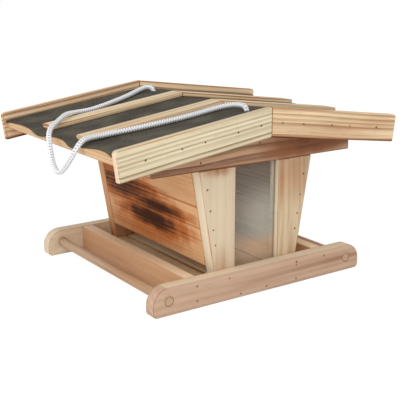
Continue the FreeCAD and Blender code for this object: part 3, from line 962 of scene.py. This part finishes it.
@dataclass
class Silo:
    """Gable boards, panes, leaning walls and the yokes inside."""

    shop: Workshop
    nails: Nails
    gable_face: float = 112.5
    foot_height: float = 31.0
    foot_reach: float = 56.7
    window_half: float = 28.5
    nail_heights: tuple[float, ...] = (119, 96, 75, 58)
    nail_inset: float = 7.0

    def edge_at(self, height: Union[float, np.ndarray]) -> Union[float, np.ndarray]:
        """Distance from the middle to the sloped edge at a height, in millimetres."""
        return self.foot_reach + (height - self.foot_height) * math.tan(WALL_LEAN)

    def rims(self, side: Side) -> Callable[[np.ndarray], tuple[np.ndarray, np.ndarray]]:
        """Distances to a gable board's upright and sloped edges.

        Args:
            side: The side that the board is on.

        Returns:
            A function from the board's vertices to both distances, in metres.
        """
        def measure(points: np.ndarray) -> tuple[np.ndarray, np.ndarray]:
            """Both distances for each vertex.

            Args:
                points: The vertices, in metres.

            Returns:
                The distance to the upright edge and to the sloped edge.
            """
            out = side.value * points[:, 0]
            line = self.edge_at(points[:, 2] / MM) * MM
            return out - self.window_half * MM, (line - out) * math.cos(WALL_LEAN)

        return measure

    def build(self) -> None:
        """Dress the silo's pieces."""
        for gable in Gable:
            for side in Side:
                near = GABLE_PALE if side is Side.LEFT else GABLE_BROWN
                finish = near if gable is Gable.FRONT else GABLE_TOASTED
                self.shop.board("gable_board_%s_%s" % (gable.word, side.word), finish, UPRIGHT,
                                Body.FEEDER, ease=0.8, rims=self.rims(side))
            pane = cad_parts["pane_" + gable.word]
            self.shop.dress(pane.data, PaneFinish())
            log.info("%s is glazed", pane.name)
            self.shop.board("hanger_yoke_" + gable.word, INNER_PINE, ALONG_X, Body.FEEDER, ease=0.5)
        for side in Side:
            lean = Vector((side.value * math.sin(WALL_LEAN), 0, math.cos(WALL_LEAN)))
            finish = WALL_BURNT if side is Side.LEFT else WALL_WARM
            for tier in ("lower", "middle", "upper"):
                self.shop.board("wall_%s_%s" % (side.word, tier), finish, Grain(Vector((0, 1, 0)), lean),
                                Body.FEEDER, ease=0.4)
        spots = [(side.value * (self.edge_at(height) - self.nail_inset), self.gable_face, height)
                 for side in Side for height in self.nail_heights]
        self.nails.drive("silo_nails", Body.FEEDER, spots, self.shop)


@dataclass
class Roof:
    """Barge boards, deck, battens and the roof's own gables."""

    shop: Workshop
    nails: Nails
    barge_face: float = 135.0
    barge_top: float = 201.0
    barge_middle: float = 15.6
    barge_nails: tuple[float, ...] = (14, 43, 83, 110, 151)
    gable_face: float = 112.5
    gable_nails: tuple[tuple[float, float], ...] = ((73, 149), (73, 156), (-73, 148), (2.5, 160.5))

    def build(self) -> None:
        """Dress the roof's pieces."""
        for gable in Gable:
            self.shop.board("roof_gable_" + gable.word, ROOF_GABLE, ALONG_X, Body.ROOF, ease=0.6)
            for side in Side:
                cream = side is Side.LEFT and gable is Gable.FRONT
                for kind, finish, ease in (("barge_board", BARGE_CREAM if cream else BARGE_PEACH, 0.8),
                                           ("batten", BATTEN_PINE, 0.6)):
                    self.shop.board("%s_%s_%s" % (kind, gable.word, side.word), finish,
                                    slope_grain(side), Body.ROOF, ease)
        for side in Side:
            self.shop.board("deck_" + side.word, DECK_PINE, ALONG_Y_FLAT, Body.ROOF, ease=0.4)
            self.shop.board("purlin_" + side.word, INNER_PINE, ALONG_Y, Body.ROOF, ease=0.5)
        spots = [(side.value * across, self.barge_face,
                  self.barge_top - self.barge_middle - across * math.tan(PITCH))
                 for side in Side for across in self.barge_nails]
        spots += [(across, self.gable_face, height) for across, height in self.gable_nails]
        self.nails.drive("roof_nails", Body.ROOF, spots, self.shop)


@dataclass
class Felt:
    """The sheet of roofing felt, laid over the ridge, with wavy eave edges."""

    shop: Workshop
    ridge: float = 192.5
    reach: float = 181.0
    half_depth: float = 126.8
    thick: float = 1.4
    deck_edge: float = 178.2
    hole_place: float = 93.0
    hole_radius: float = 4.0
    hole_margin: float = 1.1
    cell: float = 2.2
    fold: float = 3.0
    droop: float = 0.45
    seat: float = 0.05
    cockle: float = 0.3
    ripples: tuple[tuple[float, float], ...] = ((19.0, 31.0), (-47.0, 13.0))
    batten_place: float = 40.0
    batten_half: float = 10.0
    slack: float = 16.0
    crease: float = math.radians(50)
    waves: tuple[tuple[float, float], ...] = (
        (-126, 178), (-112, 175.5), (-95, 171.5), (-80, 171), (-66, 175.5), (-52, 180.5), (-40, 181),
        (-25, 179.5), (-10, 175.5), (5, 176), (20, 180), (40, 181), (55, 179.5), (75, 176), (95, 175.5),
        (112, 178.5), (126, 180))

    def eave(self, along: np.ndarray) -> np.ndarray:
        """Distance of the wavy eave edge from the ridge, smoothed between the waves' points.

        Args:
            along: Places along the ridge, in millimetres.

        Returns:
            The distance at each place.
        """
        places, edges = zip(*self.waves)
        return sum(np.interp(along + shift, places, edges) for shift in (-6, -3, 0, 3, 6)) / 5

    def lift(self, across: np.ndarray, along: np.ndarray) -> np.ndarray:
        """Height of the loose cockles between the battens and the barge boards.

        Args:
            across: Places across the ridge, in millimetres.
            along: Places along the ridge.

        Returns:
            The height at each place.
        """
        gap = np.minimum(abs(abs(along) - self.batten_place) - self.batten_half,
                         self.half_depth - abs(along))
        loose = np.clip(gap / self.slack, 0.0, 1.0)
        broad, fine = (np.sin(across / wide + along / deep) for wide, deep in self.ripples)
        return loose * self.cockle * (1.0 + broad * fine)

    def build(self) -> None:
        """Lay the sheet, cut its two cord holes and thicken it."""
        columns = int(2 * self.reach / self.cell)
        rows = int(2 * self.half_depth / self.cell)
        share, along = np.meshgrid(np.linspace(-1, 1, columns + 1),
                                   np.linspace(-self.half_depth, self.half_depth, rows + 1))
        across = share * self.eave(along)
        drop = np.clip(abs(across) - self.deck_edge, 0, None) ** 2 * self.droop
        height = (self.ridge - math.tan(PITCH) * np.hypot(across, self.fold) - self.thick / 2 - self.seat
                  + self.lift(across, along) - drop)
        points = np.stack([across, along, height], axis=-1).reshape(-1, 3) * MM
        mesh = bpy.data.meshes.new("felt_sheet")
        mesh.from_pydata(points.tolist(), [], grid_faces(rows + 1, columns + 1, closed=False))
        area = self.cut_holes(mesh)
        sheet = self.thicken(mesh)
        self.shop.place(sheet, Body.ROOF, "roof_felt")

    def cut_holes(self, mesh: bpy.types.Mesh) -> float:
        """Cut a round hole for each leg of the cord.

        Args:
            mesh: The sheet's mesh, before it gets its thickness.

        Returns:
            The sheet's flat area, in square metres.
        """
        work = bmesh.new()
        work.from_mesh(mesh)
        for gable in Gable:
            middle = Vector((0, gable.value * self.hole_place * MM))
            reach = self.hole_radius * MM * self.hole_margin
            inside = [face for face in work.faces
                      if (face.calc_center_median().xy - middle).length < reach]
            rim = {vert for face in inside for vert in face.verts}
            bmesh.ops.delete(work, geom=inside, context="FACES")
            for vert in rim:
                if vert.is_valid:
                    outward = (vert.co.xy - middle).normalized() * self.hole_radius * MM
                    vert.co.x, vert.co.y = middle.x + outward.x, middle.y + outward.y
        area = sum(face.calc_area() for face in work.faces)
        work.to_mesh(mesh)
        work.free()
        return area

    def thicken(self, mesh: bpy.types.Mesh) -> bpy.types.Object:
        """Give the sheet its thickness as plain mesh.

        Args:
            mesh: The sheet's middle surface.

        Returns:
            The finished sheet.
        """
        carrier = link("felt_carrier", mesh)
        modifier = carrier.modifiers.new("thickness", "SOLIDIFY")
        modifier.thickness = self.thick * MM
        modifier.offset = 0.0
        plain = settled(carrier)
        plain.shade_smooth()
        plain.set_sharp_from_angle(angle=self.crease)
        self.shop.dress(plain, FeltFinish())
        return link("roof_felt_sheet", plain)


@dataclass
class CarryingCord:
    """The braided cord: its free loop on the roof, two upright legs and two knots."""

    shop: Workshop
    diameter: float = 5.5
    strands: int = 4
    braid_pitch: float = 5.6
    around: int = 32
    step: float = 0.4
    strand_depth: float = 0.12
    strand_round: float = 0.7
    knot_points: int = 120
    line_order: int = 3
    line_steps: int = 24
    off_axis: Point = (0.31, 0.53, 0.79)
    route: tuple[Point, ...] = (
        (0.0, -93.0, 186.0), (0.0, -93.0, 195.6), (-0.5, -82.0, 197.2), (-6.0, -71.0, 196.0),
        (-22.0, -66.8, 193.2), (-47.0, -68.3, 189.8), (-72.0, -67.8, 186.5), (-98.0, -63.8, 182.9),
        (-122.0, -59.8, 179.6), (-140.0, -54.9, 177.2), (-155.0, -53.9, 175.6), (-168.0, -55.7, 175.4),
        (-178.0, -60.0, 174.3), (-185.6, -62.7, 168.1), (-190.2, -59.0, 157.5), (-190.5, -44.5, 145.0),
        (-190.4, -31.0, 137.4), (-190.2, -19.5, 142.4), (-190.0, -14.3, 153.5), (-189.8, -10.6, 165.0),
        (-187.3, -4.5, 173.6), (-180.3, 4.8, 177.8), (-170.5, 16.0, 178.9), (-158.0, 30.0, 180.6),
        (-143.0, 45.0, 183.2), (-125.0, 57.3, 181.7), (-106.0, 60.8, 182.0), (-84.0, 67.0, 184.8),
        (-60.0, 76.3, 188.0), (-38.0, 86.5, 191.0), (-20.0, 97.0, 193.9), (-5.0, 102.5, 196.4),
        (0.0, 93.0, 195.6), (0.0, 93.0, 186.0),
    )

    def spline_line(self, points: Sequence[Point]) -> np.ndarray:
        """Points along the smooth NURBS line of a route, in metres.

        Args:
            points: The route's control points, in millimetres.

        Returns:
            Evenly spaced points along the line.
        """
        curve = bpy.data.curves.new("cord_line", "CURVE")
        curve.dimensions = "3D"
        spline = curve.splines.new("NURBS")
        spline.points.add(len(points) - 1)
        for target, point in zip(spline.points, points):
            target.co = (*(value * MM for value in point), 1.0)
        spline.order_u = self.line_order
        spline.use_endpoint_u = True
        curve.resolution_u = self.line_steps
        line = vertex_array(settled(link("cord_line", curve)))
        gaps = np.linalg.norm(np.diff(line, axis=0), axis=1)
        run = np.concatenate([[0.0], np.cumsum(gaps)])
        count = max(3, int(run[-1] / (self.step * MM)))
        even = np.linspace(0.0, run[-1], count)
        return np.stack([np.interp(even, run, line[:, axis]) for axis in range(3)], axis=1)

    def tube(self, name: str, line: np.ndarray) -> bpy.types.Object:
        """A braided tube of plain mesh round a line.

        Args:
            name: The piece's name.
            line: Points along the middle of the cord, in metres.

        Returns:
            The new piece.
        """
        tangent = np.gradient(line, axis=0)
        tangent /= np.linalg.norm(tangent, axis=1)[:, None]
        normal = np.empty_like(line)
        normal[0] = np.cross(tangent[0], self.off_axis)
        normal[0] /= np.linalg.norm(normal[0])
        for index in range(1, len(line)):
            flat = normal[index - 1] - tangent[index] * normal[index - 1].dot(tangent[index])
            normal[index] = flat / np.linalg.norm(flat)
        other = np.cross(tangent, normal)
        run = np.arange(len(line))[:, None] * self.step * MM
        angle = np.linspace(0, 2 * math.pi, self.around, endpoint=False)[None, :]
        height = self.braid(run, angle)
        radius = self.diameter * MM / 2 * (1.0 - self.strand_depth * (1.0 - height))
        ring = np.cos(angle)[..., None] * normal[:, None, :] + np.sin(angle)[..., None] * other[:, None, :]
        points = line[:, None, :] + ring * radius[..., None]
        return self.skin(name, points, 1.0 - height)

    def braid(self, run: np.ndarray, angle: np.ndarray) -> np.ndarray:
        """Height of the braid's surface.

        Args:
            run: Length along the cord, in metres.
            angle: Angle round the cord.

        Returns:
            0 in the valleys and 1 on the strands.
        """
        half = self.strands / 2
        turn = 2 * math.pi * run / (self.braid_pitch * MM)
        left = np.cos(half * (angle + turn))
        right = np.cos(half * (angle - turn))
        return np.clip(0.5 + 0.5 * np.maximum(left, right), 0, 1) ** self.strand_round

    def skin(self, name: str, points: np.ndarray, valley: np.ndarray) -> bpy.types.Object:
        """Join rings of points into a closed tube.

        Args:
            name: The piece's name.
            points: The points, ring by ring.
            valley: How deep each point lies between the strands.

        Returns:
            The new piece.
        """
        rows, columns = points.shape[:2]
        caps = [tuple(range(columns))[::-1], tuple(range((rows - 1) * columns, rows * columns))]
        mesh = bpy.data.meshes.new(name)
        mesh.from_pydata(points.reshape(-1, 3).tolist(), [], grid_faces(rows, columns, closed=True) + caps)
        set_vectors(mesh, "braid", valley.ravel(), 0.0, 0.0)
        work = bmesh.new()
        work.from_mesh(mesh)
        bmesh.ops.recalc_face_normals(work, faces=work.faces)
        work.to_mesh(mesh)
        work.free()
        mesh.shade_smooth()
        self.shop.dress(mesh, CordFinish())
        return link(name, mesh)

    def knot(self, gable: Gable) -> bpy.types.Object:
        """An overhand knot below a yoke's bridge.

        Args:
            gable: The gable that the yoke stands at.

        Returns:
            The knot.
        """
        low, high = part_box("cord_knot_" + gable.word)
        middle = (Vector(low) + Vector(high)) / 2
        spread = (high[0] - low[0]) / 2 - self.diameter * MM / 2
        turns = np.linspace(0, 2 * math.pi, self.knot_points)
        line = np.stack([spread * (np.sin(turns) + 2 * np.sin(2 * turns)) / 3,
                         spread * (np.cos(turns) - 2 * np.cos(2 * turns)) / 3,
                         -spread * np.sin(3 * turns)], axis=1) + np.array(middle)
        return self.tube("cord_knot_%s_tied" % gable.word, line[:-1])

    def build(self) -> None:
        """Make the loop, the legs and the knots."""
        line = self.spline_line(self.route)
        loop = self.tube("cord_loop_braided", line)
        self.shop.place(loop, Body.ROOF, "cord_loop")
        for gable in Gable:
            self.leg(gable)

    def leg(self, gable: Gable) -> None:
        """One upright leg from its knot to the hole in the ridge.

        Args:
            gable: The gable that the leg is near.
        """
        low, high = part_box("cord_leg_" + gable.word)
        along = (low[1] + high[1]) / 2
        count = int((high[2] - low[2]) / (self.step * MM))
        heights = np.linspace(high[2], low[2], count)
        line = np.stack([np.zeros(count), np.full(count, along), heights], axis=1)
        leg = self.tube("cord_leg_%s_braided" % gable.word, line)
        knot = self.knot(gable)
        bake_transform(leg)
        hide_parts("cord_leg_" + gable.word)
        log.info("%s stretches between the bodies", leg.name)
        self.shop.place(knot, Body.FEEDER, "cord_knot_" + gable.word)


@dataclass
class Studio:
    """The pale floor, the light and the camera; its places and sizes are in metres."""

    camera_place: Point = (-0.55716, -0.80818, 0.33707)
    camera_turn: Point = (math.radians(74.997), 0.0, math.radians(-34.784))
    lens: float = 77.82
    sensor: float = 36.0
    aim: Point = (0.0, 0.0, 0.1)
    floor_reach: float = 6.0
    glow: float = 1.05
    glow_share: float = 0.9
    world_light: float = 0.62
    lamp_table: tuple[tuple[str, Point, float, float], ...] = (
        ("key", (-1.1, -1.4, 1.6), 1.6, 17.0), ("side", (-2.0, -0.1, 0.95), 1.4, 13.0),
        ("fill", (1.6, -1.0, 1.2), 1.4, 7.0))

    def build(self) -> None:
        """Set the stage round the feeder."""
        self.floor()
        self.lamps()
        self.world()
        self.camera()
        bpy.context.scene.view_settings.view_transform = "Standard"

    def floor(self) -> None:
        """A large pale floor that shows white to the camera but keeps the shadow."""
        mesh = bpy.data.meshes.new("floor")
        size = self.floor_reach
        mesh.from_pydata([(-size, -size, 0), (size, -size, 0), (size, size, 0), (-size, size, 0)], [],
                         [(0, 1, 2, 3)])
        shader = Shader(bpy.data.materials.new("floor_white"))
        surface = shader.take("ShaderNodeBsdfDiffuse", Color=rgb(248, 248, 248))
        glow = shader.take("ShaderNodeEmission", Color=WHITE, Strength=self.glow)
        path = shader.node("ShaderNodeLightPath")
        camera, glossy, clear = (Signal(shader, path.outputs["Is %s Ray" % ray])
                                 for ray in ("Camera", "Glossy", "Transmission"))
        share = camera.most(glossy).most(clear) * self.glow_share
        mixed = shader.fill("ShaderNodeMixShader", {}, (share, surface, glow))
        shader.node("ShaderNodeOutputMaterial", Surface=mixed)
        mesh.materials.append(shader.owner)
        link("studio_floor", mesh)

    def lamps(self) -> None:
        """A large soft key, a low lamp to the left and a weaker fill."""
        for name, place, size, power in self.lamp_table:
            light = bpy.data.lights.new(name, "AREA")
            light.size = size
            light.energy = power
            lamp = link(name, light)
            lamp.location = place
            view = Vector(self.aim) - Vector(place)
            lamp.rotation_euler = view.to_track_quat("-Z", "Y").to_euler()

    def world(self) -> None:
        """White to the camera, softer as light."""
        shader = Shader(bpy.data.worlds.new("studio_world"))
        seen = shader.take("ShaderNodeLightPath", out="Is Camera Ray")
        soft, white = (shader.take("ShaderNodeBackground", Color=WHITE, Strength=strength)
                       for strength in (self.world_light, 1.0))
        mixed = shader.fill("ShaderNodeMixShader", {}, (seen, soft, white))
        shader.node("ShaderNodeOutputWorld", Surface=mixed)
        bpy.context.scene.world = shader.owner

    def camera(self) -> None:
        """The camera at the photograph's angle."""
        data = bpy.data.cameras.new("camera")
        data.lens = self.lens
        data.sensor_width = self.sensor
        camera = link("camera", data)
        camera.location = self.camera_place
        camera.rotation_euler = self.camera_turn
        bpy.context.scene.camera = camera


def main() -> None:
    """Build the feeder, its cord and the studio in order."""
    logging.basicConfig(level=logging.INFO, format="%(name)s: %(message)s")
    shop = Workshop()
    nails = Nails()
    for part in (Studio(), CarryingCord(shop), Tray(shop, nails), Silo(shop, nails), Roof(shop, nails),
                 Felt(shop)):
        part.build()
        log.info("%s is built", type(part).__name__)


if __name__ == "__main__":
    main()
